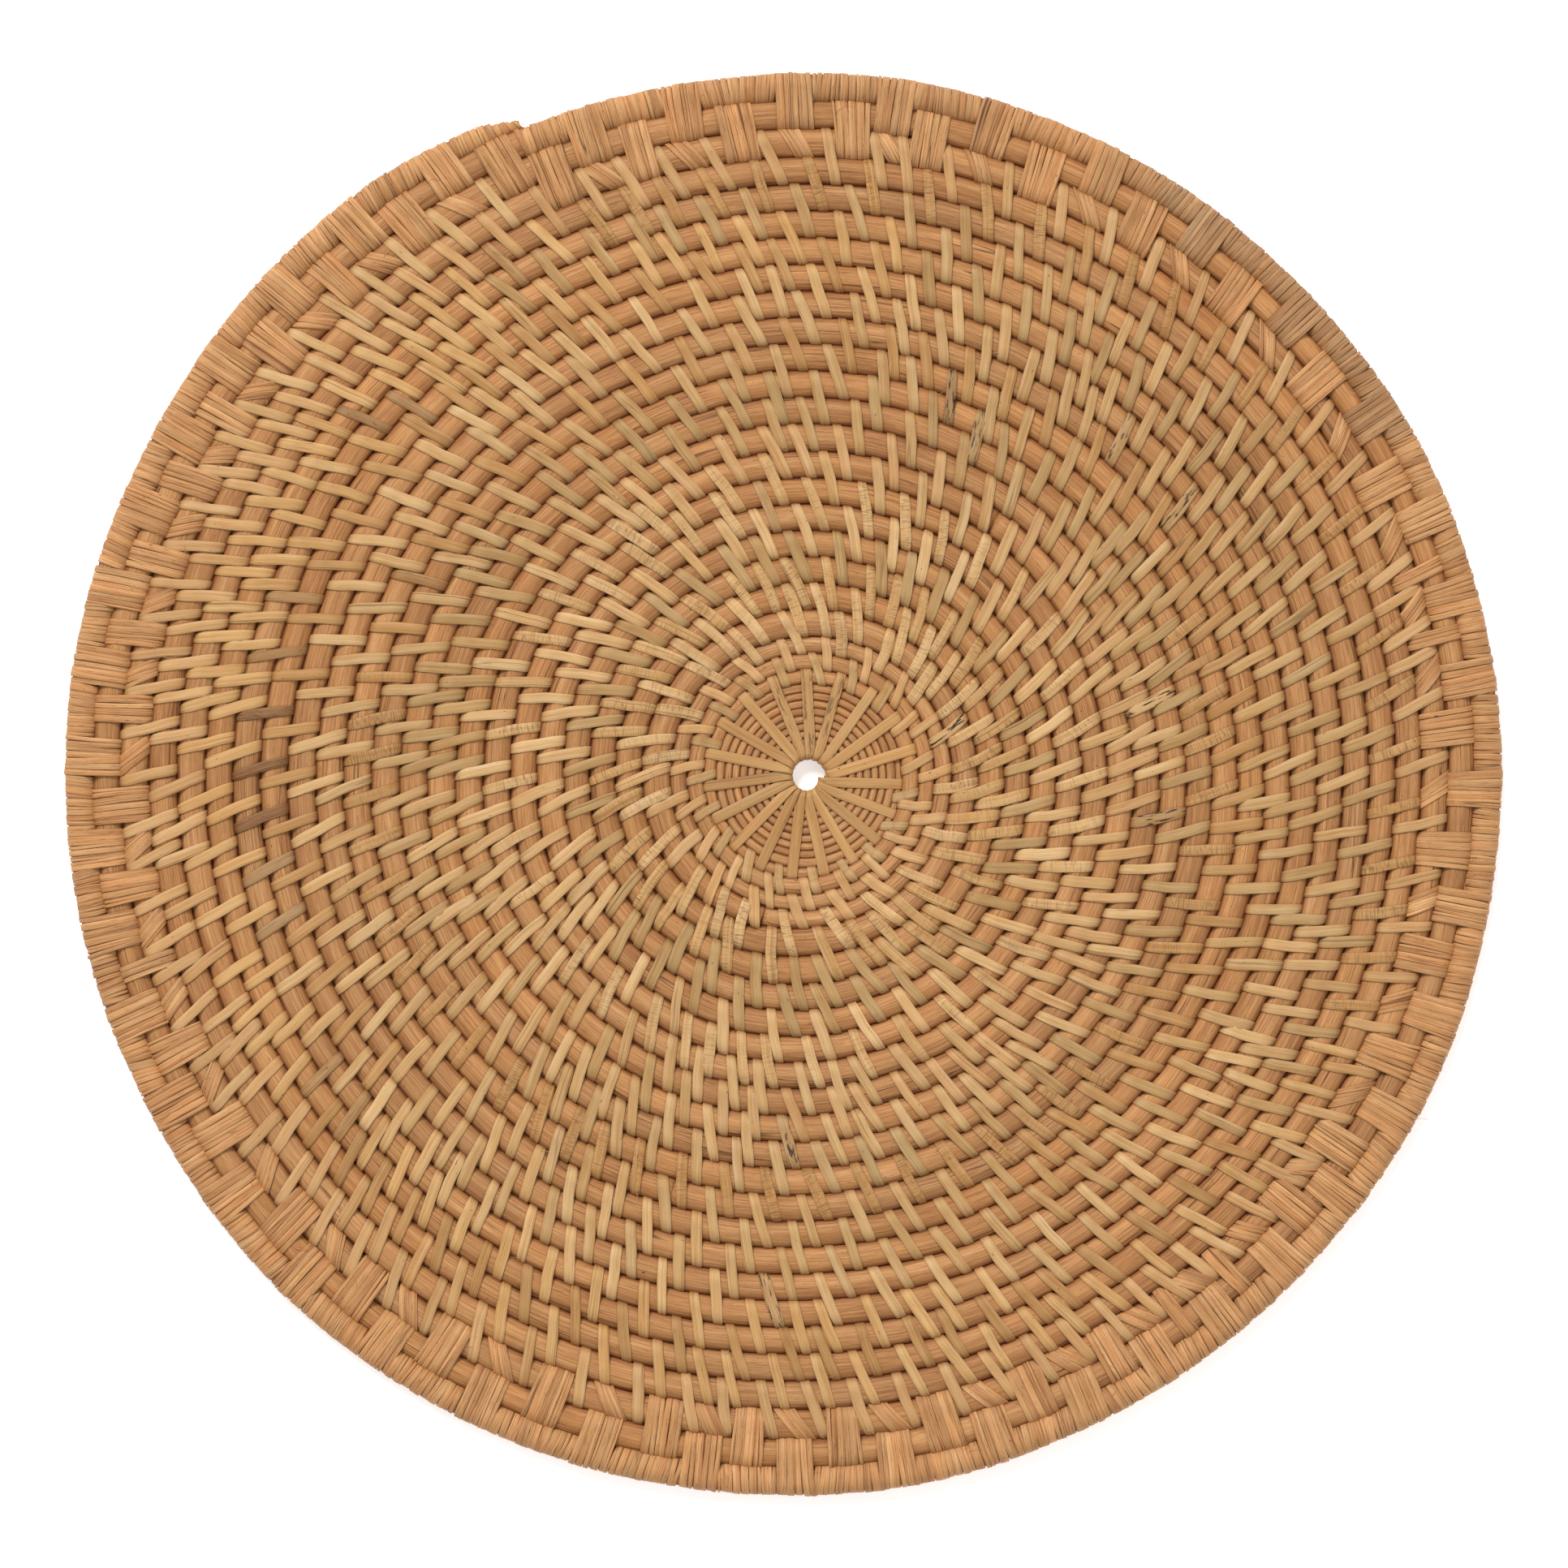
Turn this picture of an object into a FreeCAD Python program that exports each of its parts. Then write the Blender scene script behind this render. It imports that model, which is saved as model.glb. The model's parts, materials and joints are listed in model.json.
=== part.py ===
import FreeCAD, Part
import math
import os

os.makedirs("parts", exist_ok=True)

# A round woven rattan seat pad. One long cane winds clockwise and outwards from a
# small open centre. Flat peel strips stitch each round of cane to the round inside
# it, and thin strips wrap the rim. Everything is built about the centre hole and
# then moved so that the outline is centred on the origin and rests on z = 0.
# A place along the winding is given in turns: the angle is -360 degrees times the
# turns, and whole numbers lie on the +X side of the hole.

# ---- driving dimensions, in millimetres ----
FINE_REED_RADIUS = 0.9
FINE_PITCH = 2.05
FINE_LAST_CENTRE = 23.95
MIDDLE_REED_RADIUS = 1.7
MIDDLE_TIP_RADIUS = 0.55
CANE_RADIUS = 3.0
CANE_TIP_RADIUS = 1.8
CANE_TIP_LENGTH = 42.0
CANE_FIRST_RIGHT = 41.75
CANE_RIGHT_PITCH = 6.93
CANE_FIRST_LEFT = 40.46
CANE_LEFT_PITCH = 7.25
CANE_JOINT_GAP = 1.2
STRIP_WIDTH = 3.0
STRIP_THICKNESS = 0.4
STRIP_CLEARANCE = 0.02
SPOKE_COUNT = 19
STITCH_LEAN_DEG = 19.0
NEIGHBOUR_CLEARANCE = 0.2
STITCH_OFFSET = 1.6
NARROW_THRESHOLD = 12.8
WIDE_THRESHOLD = 15.2
THRESHOLD_START_RADIUS = 60.0
THRESHOLD_END_RADIUS = 110.0
THRESHOLD_SPREAD = 0.12
GOLDEN_STEP = 0.618
BLOCK_WIDTH = 9.7
BLOCK_SIDE_GAP = 0.3
SLEEVE_END_GAP = 0.15

# ---- places along the winding, in turns ----
FINE_END = -3.035
FINE_TURNS = 9.27
MIDDLE_START = -3.025
MIDDLE_TAPER_TURNS = 1.02
MIDDLE_END = 0.29
CANE_START = 0.30
CANE_END = 21.684
CANE_JOINTS = (6.85, 11.3, 15.1, 18.5)
# Distance of the middle reed's centre from the hole at each half turn from -3.
MIDDLE_CROSSINGS = (24.3, 26.0, 27.3, 29.75, 31.7, 34.0, 36.0, 38.2)
FIRST_MIDDLE_TURN = -3.0
LAST_STITCH_TURN = CANE_END - 3.0
INNER_BLOCK_END = CANE_END - 2.0
OUTER_BLOCK_END = CANE_END - 1.0

FULL_TURN = 2.0 * math.pi
UP = FreeCAD.Vector(0, 0, 1)
STITCH_LEAN = math.radians(STITCH_LEAN_DEG)
LOFT_STEP = 0.04
SAME_RADIUS = 1e-6


# ---- the winding's centre line ----
def fine_crossing(half_turn):
    """Distance of the fine reed's centre from the hole at a half-turn number."""
    return FINE_LAST_CENTRE + (half_turn / 2.0 - FINE_END) * FINE_PITCH


def middle_crossing(half_turn):
    """The same for the middle reed, which thickens along its first turn."""
    index = half_turn - round(2 * FIRST_MIDDLE_TURN)
    return MIDDLE_CROSSINGS[min(max(index, 0), len(MIDDLE_CROSSINGS) - 1)]


def cane_crossing(half_turn):
    """The same for the thick cane, whose rounds are a little wider on the -X side."""
    rounds = half_turn // 2
    if half_turn <= 0:
        return CANE_FIRST_LEFT
    if half_turn % 2:
        return CANE_FIRST_LEFT + rounds * CANE_LEFT_PITCH
    return CANE_FIRST_RIGHT + (rounds - 1) * CANE_RIGHT_PITCH


def crossing_rule(turn):
    if turn <= FINE_END:
        return fine_crossing
    if turn < CANE_START:
        return middle_crossing
    return cane_crossing


def arc_at(turn, rule):
    """Centre X and radius of the half circle that the winding follows at this turn."""
    half_turn = math.floor(2 * turn)
    first, last = rule(half_turn), rule(half_turn + 1)
    if half_turn % 2:
        first, last = last, first
    return (first - last) / 2.0, (first + last) / 2.0


def distance_on(arc, turn):
    """Distance from the hole of the place on an arc where this turn crosses it."""
    angle = -FULL_TURN * turn
    centre, radius = arc
    across = radius**2 - (centre * math.sin(angle)) ** 2
    return centre * math.cos(angle) + math.sqrt(across)


def point_at(distance, turn):
    angle = -FULL_TURN * turn
    return FreeCAD.Vector(distance * math.cos(angle), distance * math.sin(angle), 0)


def cane_tip_turns():
    return CANE_TIP_LENGTH / (FULL_TURN * cane_crossing(43))


def rod_radius(turn):
    """Radius of the reed or cane at a place along the winding."""
    if turn <= FINE_END:
        return FINE_REED_RADIUS
    if turn < CANE_START:
        grown = (turn - MIDDLE_START) / MIDDLE_TAPER_TURNS
        full = MIDDLE_REED_RADIUS - MIDDLE_TIP_RADIUS
        return MIDDLE_TIP_RADIUS + full * min(max(grown, 0.0), 1.0)
    left = (CANE_END - turn) / cane_tip_turns()
    return CANE_TIP_RADIUS + (CANE_RADIUS - CANE_TIP_RADIUS) * min(max(left, 0.0), 1.0)


def distance_from_hole(turn):
    """Distance of the winding's centre line from the hole's centre."""
    distance = distance_on(arc_at(turn, crossing_rule(turn)), turn)
    if turn > CANE_START:
        distance -= CANE_RADIUS - rod_radius(turn)
    return distance


def winding_point(turn):
    return point_at(distance_from_hole(turn), turn)


def turns_for(length, turn):
    """How many turns a length along the winding makes at this place."""
    return length / (FULL_TURN * distance_from_hole(turn))


# ---- reeds and canes ----
def section_circle(turn, arc, radius, shift=0.0):
    """The round section of a rod, square to its arc and moved outwards by shift."""
    centre = FreeCAD.Vector(arc[0], 0, 0)
    outward = point_at(distance_on(arc, turn), turn) - centre
    outward.normalize()
    middle = centre + outward * (arc[1] + shift)
    return Part.Wire(Part.makeCircle(radius, middle, outward.cross(UP)))


def arc_sweep(start, end, arc):
    """Degrees about the arc's own centre between two places on it, clockwise."""
    centre = FreeCAD.Vector(arc[0], 0, 0)
    first = point_at(distance_on(arc, start), start) - centre
    last = point_at(distance_on(arc, end), end) - centre
    return -math.degrees(first.getAngle(last))


def rod_piece(start, end, rule):
    """A solid stretch of rod between two places on one arc."""
    arc = arc_at((start + end) / 2.0, rule)
    if abs(rod_radius(start) - rod_radius(end)) < SAME_RADIUS:
        ring = section_circle(start, arc, rod_radius(end))
        centre = FreeCAD.Vector(arc[0], 0, 0)
        return Part.Face(ring).revolve(centre, UP, arc_sweep(start, end, arc))
    full = CANE_RADIUS if rule is cane_crossing else None
    count = max(3, math.ceil((end - start) / LOFT_STEP) + 1)
    rings = []
    for index in range(count):
        turn = start + (end - start) * index / (count - 1)
        radius = rod_radius(turn)
        rings.append(section_circle(turn, arc, radius, radius - full if full else 0.0))
    return Part.makeLoft(rings, True, False)


def rod(start, end, stops=()):
    """A closed solid rod that follows the winding, with a flat cut at each end."""
    rule = crossing_rule((start + end) / 2.0)
    halves = [h / 2.0 for h in range(math.ceil(2 * start), math.ceil(2 * end))]
    places = sorted({start, end, *[p for p in (*halves, *stops) if start < p < end]})
    pieces = [rod_piece(a, b, rule) for a, b in zip(places, places[1:])]
    whole = pieces[0].fuse(pieces[1:]) if len(pieces) > 1 else pieces[0]
    return whole.Solids[0]


def cane_lengths():
    """The thick cane is several lengths laid end to end."""
    ends = (CANE_START, *CANE_JOINTS, CANE_END)
    lengths = []
    for first, last in zip(ends, ends[1:]):
        gap = turns_for(CANE_JOINT_GAP, last) if last < CANE_END else 0.0
        taper = CANE_END - cane_tip_turns()
        lengths.append(rod(first, last - gap, (taper,)))
    return lengths


# ---- flat strips looped round two rods ----
def belt_wire(start, along, length, inner_radius, outer_radius):
    """Outline of a belt round two circles that stand in the plane of along and up."""
    lean = math.asin((outer_radius - inner_radius) / length)

    def point(offset, height):
        return start + along * offset + UP * height

    def tangent(offset, radius, side):
        height = side * radius * math.cos(lean)
        return point(offset - radius * math.sin(lean), height)

    top = [tangent(0, inner_radius, 1), tangent(length, outer_radius, 1)]
    low = [tangent(0, inner_radius, -1), tangent(length, outer_radius, -1)]
    outer_end = point(length + outer_radius, 0)
    inner_end = point(-inner_radius, 0)
    edges = [
        Part.LineSegment(top[0], top[1]),
        Part.Arc(top[1], outer_end, low[1]),
        Part.LineSegment(low[1], low[0]),
        Part.Arc(low[0], inner_end, top[0]),
    ]
    return Part.Wire([edge.toShape() for edge in edges])


def band(inner_point, inner_rod, outer_point, outer_rod, width):
    """A closed flat strip of the given width looped round two rods."""
    along = outer_point - inner_point
    length = along.Length
    along.normalize()
    outward = (inner_point + outer_point) * 0.5
    outward.normalize()
    across = UP.cross(outward)
    stretch = 1.0 / along.dot(outward)
    start = inner_point - across * (width / 2.0)
    radii = [(r + STRIP_CLEARANCE) * stretch for r in (inner_rod, outer_rod)]
    inside = belt_wire(start, along, length, *radii)
    inside.reverse()
    radii = [r + STRIP_THICKNESS for r in radii]
    outside = belt_wire(start, along, length, *radii)
    return Part.Face([outside, inside]).extrude(across * width)


def centre_spokes():
    """Strips through the hole that bind the fine reed and the first middle round."""
    first_rod = FINE_END - FINE_TURNS
    hub = distance_from_hole(first_rod)
    half_share = math.pi / SPOKE_COUNT * 0.97
    spokes, crossings = [], []
    for number in range(SPOKE_COUNT):
        turn = MIDDLE_START + (number + 0.7) / SPOKE_COUNT
        outer = winding_point(turn)
        outward = FreeCAD.Vector(outer)
        outward.normalize()
        strip = band(outward * hub, FINE_REED_RADIUS, outer, rod_radius(turn), STRIP_WIDTH)
        reach = outer.Length + MIDDLE_REED_RADIUS + STRIP_WIDTH
        across = UP.cross(outward) * (reach * math.tan(half_share))
        low = UP * -CANE_RADIUS
        corners = [low, outward * reach + across + low, outward * reach - across + low]
        wedge = Part.Face(Part.makePolygon([*corners, corners[0]]))
        share = wedge.extrude(UP * 2 * CANE_RADIUS)
        spokes.append(strip.common(share).Solids[0])
        crossings.append(turn)
    return spokes, crossings


def stitch(turn):
    """One stitch over two rounds of cane. Returns it and where it meets the outer one."""
    pitch = distance_from_hole(turn + 1.0) - distance_from_hole(turn)
    lean = turns_for(pitch * math.tan(STITCH_LEAN), turn + 1.0)
    crossing = turn + 1.0 - lean
    ends = (winding_point(turn), rod_radius(turn), winding_point(crossing), rod_radius(crossing))
    return band(*ends, STRIP_WIDTH), crossing


def threshold(distance, number):
    """A space between stitches wider than this takes two stitches of the next round."""
    span = THRESHOLD_END_RADIUS - THRESHOLD_START_RADIUS
    share = min(max((distance - THRESHOLD_START_RADIUS) / span, 0.0), 1.0)
    limit = NARROW_THRESHOLD + (WIDE_THRESHOLD - NARROW_THRESHOLD) * share
    return limit * (1.0 + THRESHOLD_SPREAD * (number * GOLDEN_STEP % 1.0))


def places_between(space, limit):
    """Distances from a space's start at which the next round's stitches cross it."""
    room = STRIP_WIDTH + NEIGHBOUR_CLEARANCE
    if space <= limit:
        return [min(max(space / 2.0 - STITCH_OFFSET, room), space - room)]
    half = max(2 * room, 0.45 * space) / 2.0
    middle = max(space / 2.0 - STITCH_OFFSET, room + half)
    return [middle - half, middle + half]


def stitch_rounds(crossings):
    """Stitches by round, each set between the strips that cross the same cane."""
    crossings = list(crossings)
    rounds = {}
    index = 0
    while True:
        first, last = crossings[index], crossings[index + 1]
        distance = distance_from_hole(first)
        space = (last - first) * FULL_TURN * distance
        for place in places_between(space, threshold(distance, index)):
            turn = first + place / (FULL_TURN * distance)
            if turn >= LAST_STITCH_TURN:
                return rounds, crossings[index:]
            solid, crossing = stitch(turn)
            rounds.setdefault(math.floor(turn - MIDDLE_START) + 1, []).append(solid)
            crossings.append(crossing)
        index += 1


# ---- the rim ----
def blocks(turns, widths):
    """Wide bindings of thin strips laid side by side over two rounds of cane."""
    made = []
    for turn, width in zip(turns, widths):
        ends = (winding_point(turn), rod_radius(turn), winding_point(turn + 1), rod_radius(turn + 1))
        made.append(band(*ends, width))
    return made


def inner_block_places(crossings):
    """One block in every second space between the last round of stitches, and one past its end."""
    crossings = list(crossings) + [2.0 * crossings[-1] - crossings[-2]]
    turns, widths = [], []
    for first, last in list(zip(crossings, crossings[1:]))[::2]:
        middle = (first + last) / 2.0
        if middle >= INNER_BLOCK_END:
            break
        space = (last - first) * FULL_TURN * distance_from_hole(middle)
        turns.append(middle)
        widths.append(min(BLOCK_WIDTH, space - STRIP_WIDTH - 2 * BLOCK_SIDE_GAP))
    return turns, widths


def outer_block_places(inner_turns):
    """One block between each two inner blocks, a turn further out."""
    crossings = [turn + 1.0 for turn in inner_turns]
    middles = [(a + b) / 2.0 for a, b in zip(crossings, crossings[1:])]
    return [m for m in middles if m < OUTER_BLOCK_END]


def edge_sleeves(outer_turns):
    """Wrapping round the outermost cane alone, between the outer blocks."""
    sleeves = []
    half = BLOCK_WIDTH / 2.0 + SLEEVE_END_GAP
    stops = [CANE_END - 1.0] + [turn + 1.0 for turn in outer_turns]
    taper = CANE_END - cane_tip_turns()
    for first, last in zip(stops, stops[1:]):
        margin = turns_for(half, first)
        start = first + margin
        end = min(last - margin, taper)
        if end - start > margin / 2.0:
            sleeves.append(sleeve(start, end))
    return sleeves


def sleeve(start, end):
    """A tube round one cane; it follows the two arcs where it crosses the X axis."""
    crossing = math.ceil(2 * start) / 2.0
    if start < crossing < end:
        gap = turns_for(SLEEVE_END_GAP, start)
        longer = (start, crossing - gap) if crossing - start > end - crossing else (crossing + gap, end)
        start, end = longer
    bore = CANE_RADIUS + STRIP_CLEARANCE
    arc = arc_at((start + end) / 2.0, cane_crossing)
    outside = section_circle(start, arc, bore + STRIP_THICKNESS)
    inside = section_circle(start, arc, bore)
    inside.reverse()
    centre = FreeCAD.Vector(arc[0], 0, 0)
    return Part.Face([outside, inside]).revolve(centre, UP, arc_sweep(start, end, arc))


# ---- assembly ----
def outline_shift():
    """Moves the outline's middle to the origin and the underside to z = 0."""
    edge = CANE_RADIUS + STRIP_CLEARANCE + STRIP_THICKNESS
    right, left, inner_left = cane_crossing(42), cane_crossing(43), cane_crossing(41)
    middle_x = (right - left) / 2.0
    middle_y = (inner_left - left) / 4.0
    stretch = 1.0 / math.cos(STITCH_LEAN)
    height = (CANE_RADIUS + STRIP_CLEARANCE) * stretch + STRIP_THICKNESS
    print(f"outline {right + left + 2 * edge:.1f} mm across, {2 * height:.2f} mm thick")
    print(f"hole centre at {-middle_x:.2f}, {-middle_y:.2f}")
    return FreeCAD.Vector(-middle_x, -middle_y, height)


def write(name, solids, shift):
    group = Part.makeCompound(solids) if len(solids) > 1 else solids[0]
    group.translate(shift)
    bad = sum(not solid.isValid() for solid in group.Solids)
    print(f"{name}: {len(group.Solids)} solids, {group.Volume:.0f} mm3, invalid {bad}")
    group.exportStep(f"parts/{name}.step")


def main():
    shift = outline_shift()
    write("centre_reed_coil", [rod(FINE_END - FINE_TURNS, FINE_END)], shift)
    thick_from = MIDDLE_START + MIDDLE_TAPER_TURNS
    write("middle_reed_coil", [rod(MIDDLE_START, MIDDLE_END, (thick_from,))], shift)
    for number, length in enumerate(cane_lengths(), 1):
        write(f"cane_length_{number}", [length], shift)
    spokes, crossings = centre_spokes()
    write("centre_spoke_strips", spokes, shift)
    rounds, last_crossings = stitch_rounds(crossings)
    for number, solids in rounds.items():
        write(f"stitch_round_{number:02d}", solids, shift)
    inner_turns, inner_widths = inner_block_places(last_crossings)
    outer_turns = outer_block_places(inner_turns)
    write("rim_inner_blocks", blocks(inner_turns, inner_widths), shift)
    write("rim_outer_blocks", blocks(outer_turns, [BLOCK_WIDTH] * len(outer_turns)), shift)
    write("rim_edge_sleeves", edge_sleeves(outer_turns), shift)


main()
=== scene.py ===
import json
import math

import bpy
import numpy as np
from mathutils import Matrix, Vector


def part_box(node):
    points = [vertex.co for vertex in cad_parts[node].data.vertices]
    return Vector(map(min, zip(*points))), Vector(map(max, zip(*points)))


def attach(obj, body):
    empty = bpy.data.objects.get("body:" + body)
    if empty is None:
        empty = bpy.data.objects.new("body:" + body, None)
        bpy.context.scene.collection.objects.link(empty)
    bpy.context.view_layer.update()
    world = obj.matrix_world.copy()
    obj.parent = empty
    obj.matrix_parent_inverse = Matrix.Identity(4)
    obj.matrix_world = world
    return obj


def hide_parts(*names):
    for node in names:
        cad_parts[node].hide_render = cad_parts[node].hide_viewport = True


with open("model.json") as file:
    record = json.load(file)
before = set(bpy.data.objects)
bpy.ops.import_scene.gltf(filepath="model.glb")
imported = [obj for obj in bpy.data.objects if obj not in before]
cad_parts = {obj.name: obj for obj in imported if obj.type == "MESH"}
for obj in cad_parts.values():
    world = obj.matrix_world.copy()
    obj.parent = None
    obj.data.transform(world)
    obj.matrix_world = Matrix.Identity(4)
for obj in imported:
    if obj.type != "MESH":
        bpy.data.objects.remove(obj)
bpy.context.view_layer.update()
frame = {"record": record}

# Everything is worked out in millimetres about the centre hole, with z = 0 at half
# the pad's thickness, and moved into the frame when a mesh is written. A place along
# the winding is given in turns: its angle is -360 degrees times the turns.

# ---- the winding, as the CAD model lays it out ----
FINE_RADIUS = 0.98
FINE_PITCH = 2.05
FINE_LAST_CENTRE = 23.95
FINE_END = -3.035  # all places along the winding are in turns
FINE_TURNS = 9.27
MIDDLE_START = -3.025
MIDDLE_END = 0.29  # where the middle reed is thickest
MIDDLE_RADIUS = 1.85
MIDDLE_TIP_RADIUS = 0.6
MIDDLE_SWELL = 0.35
MIDDLE_TAPER_TURNS = 1.02
MIDDLE_CROSSINGS = np.array([24.3, 26.0, 27.3, 29.75, 31.7, 34.0, 36.0, 38.2])
CANE_START = 0.30
CANE_END = 21.684
CANE_JOINTS = (6.85, 11.3, 15.1, 18.5)
CANE_FIRST_RIGHT = 41.75
CANE_RIGHT_PITCH = 6.93
CANE_FIRST_LEFT = 40.46
CANE_LEFT_PITCH = 7.25
CANE_RADIUS = 3.12
CANE_TIP_RADIUS = 1.8
CANE_TIP_LENGTH = 42.0
TIP_POINT = 0.9
SPOKE_COUNT = 19
STRIP_WIDTH = 3.0
STRIP_THICKNESS = 0.42
STITCH_LEAN = math.radians(19.0)
NEIGHBOUR_CLEARANCE = 0.2
STITCH_OFFSET = 1.6
NARROW_THRESHOLD = 12.8
WIDE_THRESHOLD = 15.2
THRESHOLD_START_RADIUS = 60.0
THRESHOLD_END_RADIUS = 110.0
THRESHOLD_SPREAD = 0.12
GOLDEN_STEP = 0.618
JOINT_ANGLE = -112.0
JOINT_DROPS = (0.3, 0.62, 0.12, 0.16, 0.12, 0.0)
NOTCH = 2.3  # length over which a rod's end loses height at a joint
OVERLAP = 0.3  # cane ends run this far into each other
TOUCH = 0.0003  # gap in turns between the ends of the two reeds
REED_START = 0.29  # turns of the fine reed that the spokes hide
PRESS = 1.05  # rows are this much wider than their spacing
THINNEST, WIDEST = 0.92, 1.9  # limits of half a rod's width, in radii
BLOCK_WIDTH = 9.7
LAST_STITCH_TURN = CANE_END - 3.0
INNER_BLOCK_END = CANE_END - 2.0
OUTER_BLOCK_END = CANE_END - 1.0

MM = 0.001
TAU = 2.0 * math.pi
opening = frame["record"]["physics"]["openings"][0]["box_m"]
HOLE = (np.array(opening[0]) + np.array(opening[1]))[:2] / 2.0
MID_HEIGHT = (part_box("stitch_round_21")[0][2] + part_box("stitch_round_21")[1][2]) / 2.0
rng = np.random.default_rng(20)


# ---- small number helpers ----
def smooth(low, high, x):
    """0 below low, 1 above high, and a smooth rise between."""
    f = np.clip((np.asarray(x, float) - low) / (high - low), 0.0, 1.0)
    return f * f * (3.0 - 2.0 * f)


def drift(x, seed, period):
    """Smooth wandering values between about -1 and 1, the same on every run."""
    phases = np.random.default_rng(seed).uniform(0, TAU, 4)
    waves = (1.0, 1.73, 2.91, 4.57)
    total = sum(np.sin(TAU * np.asarray(x) * w / period + p) / w**0.5 for w, p in zip(waves, phases))
    return total / 2.2


def unit(v):
    return v / np.maximum(np.linalg.norm(v, axis=-1, keepdims=True), 1e-12)


# ---- the winding's centre line ----
def arc_distance(turn, crossing):
    """Distance from the hole on half circles that meet on the X axis."""
    half = np.floor(2 * turn).astype(int)
    first, last = crossing(half), crossing(half + 1)
    odd = half % 2 == 1
    right, left = np.where(odd, last, first), np.where(odd, first, last)
    centre, radius = (right - left) / 2.0, (right + left) / 2.0
    angle = -TAU * turn
    across = radius**2 - (centre * np.sin(angle)) ** 2
    return centre * np.cos(angle) + np.sqrt(across)


def fine_crossing(half):
    return FINE_LAST_CENTRE + (half / 2.0 - FINE_END) * FINE_PITCH


def middle_crossing(half):
    return MIDDLE_CROSSINGS[np.clip(half + 6, 0, len(MIDDLE_CROSSINGS) - 1)]


def cane_crossing(half):
    rounds = half // 2
    left = CANE_FIRST_LEFT + rounds * CANE_LEFT_PITCH
    right = CANE_FIRST_RIGHT + (rounds - 1) * CANE_RIGHT_PITCH
    return np.where(half <= 0, CANE_FIRST_LEFT, np.where(half % 2 == 1, left, right))


def tip_left(turn):
    """Share of the tapered end that is still to come, 1 before it and 0 at the tip."""
    length = CANE_TIP_LENGTH / (TAU * 192.7)
    return np.clip((CANE_END - turn) / length, 0.0, 1.0)


def rod_radius(turn):
    turn = np.asarray(turn, float)
    grown = np.clip((turn - MIDDLE_START) / MIDDLE_TAPER_TURNS, 0.0, 1.0)
    middle = MIDDLE_TIP_RADIUS + (MIDDLE_RADIUS - MIDDLE_TIP_RADIUS) * grown
    middle += MIDDLE_SWELL * smooth(-0.6, MIDDLE_END, turn)
    left = tip_left(turn)
    point = TIP_POINT * (1.0 - smooth(0.0, 0.3, left))
    cane = CANE_TIP_RADIUS + (CANE_RADIUS - CANE_TIP_RADIUS) * left - point
    return np.where(turn <= FINE_END, FINE_RADIUS, np.where(turn < CANE_START, middle, cane))


def lean_of_rows(dist, angle):
    """How far the real rows sit from true half circles: the mat is a little out of round inside."""
    inside = smooth(32.0, 88.0, dist) * (1.0 - smooth(160.0, 186.0, dist))
    outside = smooth(90.0, 150.0, dist) * (1.0 - smooth(160.0, 186.0, dist))
    first = -1.05 + 0.6 * np.cos(angle) + 0.15 * np.sin(angle) - 0.2 * np.cos(3 * angle)
    return inside * first + outside * (0.45 * np.cos(2 * angle) + 0.4 * np.sin(2 * angle))


def joint_bulge(turn):
    """The rows swell outward where the thick cane takes over from the reed."""
    degrees = (-360.0 * turn - JOINT_ANGLE + 180.0) % 360.0 - 180.0
    reed = (0.65 + 0.13 * (turn + 3.0)) * np.exp(-((degrees / 28.0) ** 2))
    start = -1.1 * np.exp(-(((turn - CANE_START) / 0.09) ** 2))
    second = -1.3 * np.exp(-(((degrees - 22.0) / 20.0) ** 2))
    cane = np.where(turn < 0.8, start, np.where(turn < 1.8, second, 0.0))
    return np.where(turn < FINE_END, 0.0, np.where(turn < CANE_START, reed, cane))


def distance(turn):
    """Distance of the winding's centre line from the hole's centre."""
    turn = np.asarray(turn, float)
    fine = arc_distance(turn, fine_crossing)
    middle = arc_distance(turn, middle_crossing)
    cane = arc_distance(turn, cane_crossing) - (CANE_RADIUS - rod_radius(turn))
    plain = np.where(turn <= FINE_END, fine, np.where(turn < CANE_START, middle, cane))
    angle = -TAU * turn
    ripple = 0.26 * np.sin(7 * angle + 0.21 * turn + 0.6) + 0.14 * np.sin(13 * angle + 0.35 * turn)
    ripple *= smooth(30.0, 70.0, plain)
    return plain + ripple + lean_of_rows(plain, angle) + joint_bulge(turn)


def half_widths(turn):
    """Half the rod's width on its inner and outer side, so that rows press on each other."""
    dist, radius = distance(turn), rod_radius(turn)
    first, last = FINE_END - FINE_TURNS, CANE_END
    before, after = turn - 1.0, turn + 1.0
    inner = (dist - distance(before)) * radius / (radius + rod_radius(before))
    outer = (distance(after) - dist) * radius / (radius + rod_radius(after))
    inner = np.where(before < first, radius, inner)
    outer = np.where(after > last, radius, outer)
    low, high = THINNEST * radius, WIDEST * radius
    return np.clip(inner * PRESS, low, high), np.clip(outer * PRESS, low, high)


def place(dist, angle, z):
    return np.stack([dist * np.cos(angle), dist * np.sin(angle), z * np.ones_like(dist)], -1)


def turns_for(length, turn):
    return length / (TAU * float(distance(turn)))


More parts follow.
